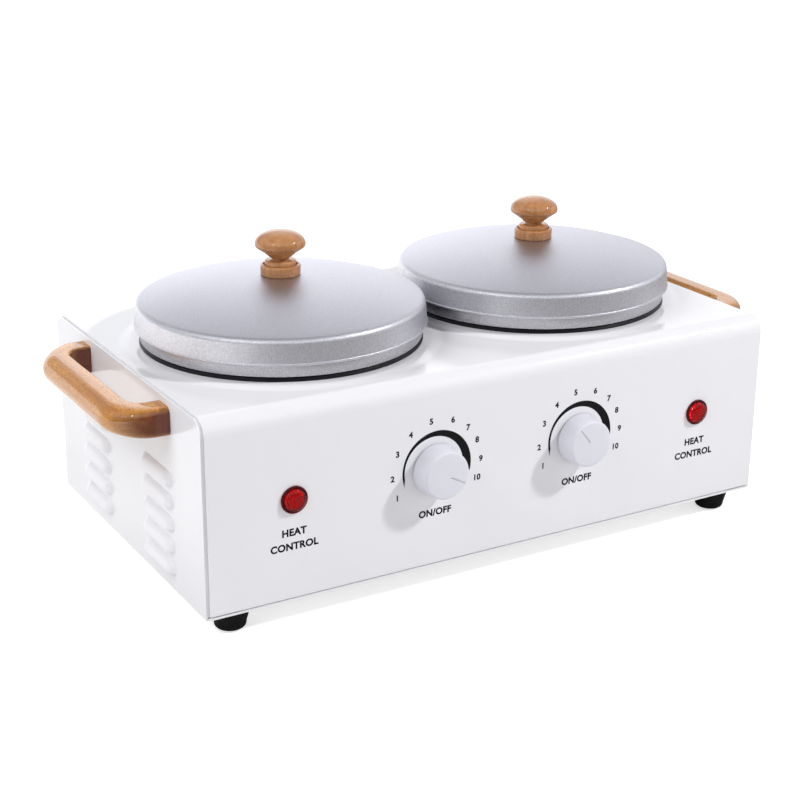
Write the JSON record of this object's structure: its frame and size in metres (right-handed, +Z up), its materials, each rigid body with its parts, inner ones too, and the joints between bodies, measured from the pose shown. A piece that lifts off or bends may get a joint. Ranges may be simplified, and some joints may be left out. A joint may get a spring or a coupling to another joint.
{
  "type": "double wax warmer",
  "caption": "Countertop double wax warmer: sheet metal case with wooden side handles, lift-out pots under domed lids with turned wooden knobs, heat dials and pilot lamps.",
  "frame": {"origin": "on the surface the feet stand on, under the middle of the whole object's box", "axes": "+X to the right along the two pots, -Y the front with the controls, +Z up"},
  "size_m": [0.4434, 0.2372, 0.194],
  "materials": {
    "white_enamel": "glossy white powder coat",
    "blasted_aluminium": "pearl blasted with fine sparkle",
    "plain_aluminium": "spun, plain",
    "plated_steel": "zinc plated",
    "varnished_wood": "clear varnish",
    "black_rubber": "matte",
    "black_plastic": "fine texture",
    "white_plastic": "satin",
    "red_lens": "clear red, moulded",
    "pale_plastic": "moulded, heat resistant"
  },
  "bodies": {
    "case": {"case_shell": "white_enamel", "back_panel": "white_enamel", "left_side_panel": "white_enamel", "right_side_panel": "white_enamel", "bottom_plate": "white_enamel", "left_handle": "varnished_wood", "right_handle": "varnished_wood", "handle_screws": "plated_steel", "front_left_foot": "black_rubber", "front_right_foot": "black_rubber", "back_left_foot": "black_rubber", "back_right_foot": "black_rubber", "foot_screws": "plated_steel", "bottom_screws": "plated_steel", "back_screws": "plated_steel", "left_heating_well": "plain_aluminium", "right_heating_well": "plain_aluminium", "left_band_heater": "plated_steel", "right_band_heater": "plated_steel", "left_tie_bracket": "plated_steel", "right_tie_bracket": "plated_steel", "tie_nuts": "plated_steel", "left_thermal_fuse": "pale_plastic", "right_thermal_fuse": "pale_plastic", "left_seat_ring": "black_plastic", "right_seat_ring": "black_plastic", "left_thermostat": "pale_plastic", "right_thermostat": "pale_plastic", "thermostat_nuts": "plated_steel", "left_lamp_lens": "red_lens", "right_lamp_lens": "red_lens", "left_lamp_body": "pale_plastic", "right_lamp_body": "pale_plastic", "lamp_clips": "plated_steel", "cord_bushing": "black_plastic", "cord_bushing_nut": "black_plastic", "terminal_block": "pale_plastic"},
    "left_pot": {"left_pot": "blasted_aluminium"},
    "left_lid": {"left_lid": "blasted_aluminium", "left_lid_knob": "varnished_wood", "left_lid_screw": "plated_steel"},
    "left_control": {"left_control_knob": "white_plastic", "left_thermostat_shaft": "plated_steel"},
    "right_pot": {"right_pot": "blasted_aluminium"},
    "right_lid": {"right_lid": "blasted_aluminium", "right_lid_knob": "varnished_wood", "right_lid_screw": "plated_steel"},
    "right_control": {"right_control_knob": "white_plastic", "right_thermostat_shaft": "plated_steel"}
  },
  "joints": [
    {"name": "left_pot_lift", "type": "slide", "parent": "case", "child": "left_pot", "axis": [0, 0, 1], "range_m": [0, 0.15]},
    {"name": "left_lid_lift", "type": "slide", "parent": "left_pot", "child": "left_lid", "axis": [0, 0, 1], "range_m": [0, 0.1]},
    {"name": "right_pot_lift", "type": "slide", "parent": "case", "child": "right_pot", "axis": [0, 0, 1], "range_m": [0, 0.15]},
    {"name": "right_lid_lift", "type": "slide", "parent": "right_pot", "child": "right_lid", "axis": [0, 0, 1], "range_m": [0, 0.1]},
    {"name": "left_control_turn", "type": "hinge", "parent": "case", "child": "left_control", "pos_m": [-0.0475, -0.10495, 0.0745], "axis": [0, 1, 0], "range_deg": [-298, 2]},
    {"name": "right_control_turn", "type": "hinge", "parent": "case", "child": "right_control", "pos_m": [0.0515, -0.10495, 0.0745], "axis": [0, 1, 0], "range_deg": [-142, 158]}
  ]
}
